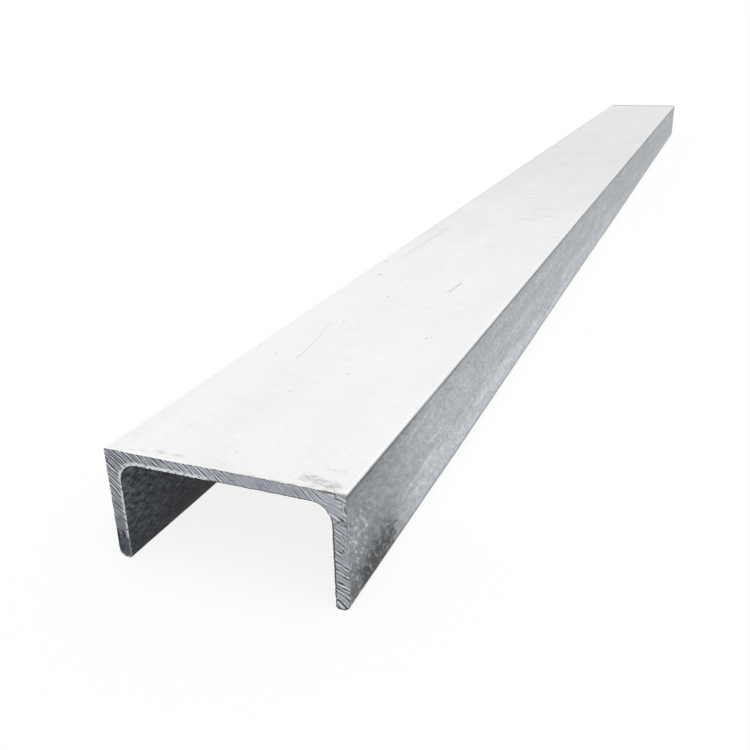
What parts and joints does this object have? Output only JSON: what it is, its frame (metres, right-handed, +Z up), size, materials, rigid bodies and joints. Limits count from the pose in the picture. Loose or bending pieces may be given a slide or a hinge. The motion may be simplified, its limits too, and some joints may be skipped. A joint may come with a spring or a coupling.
{
  "type": "steel c-channel",
  "caption": "Hot-rolled, galvanised steel C-channel with parallel flanges, sawn square to a straight stock length.",
  "frame": {"origin": "middle of the bar's length and width, level with the toes of its flanges", "axes": "+Y along the bar, +X across the web, +Z up and out of the web's outer face"},
  "size_m": [0.15, 2, 0.072],
  "materials": {
    "galvanised_steel": "dull hot-dip zinc with bare sawn ends"
  },
  "bodies": {
    "root": {"channel": "galvanised_steel"}
  },
  "joints": []
}
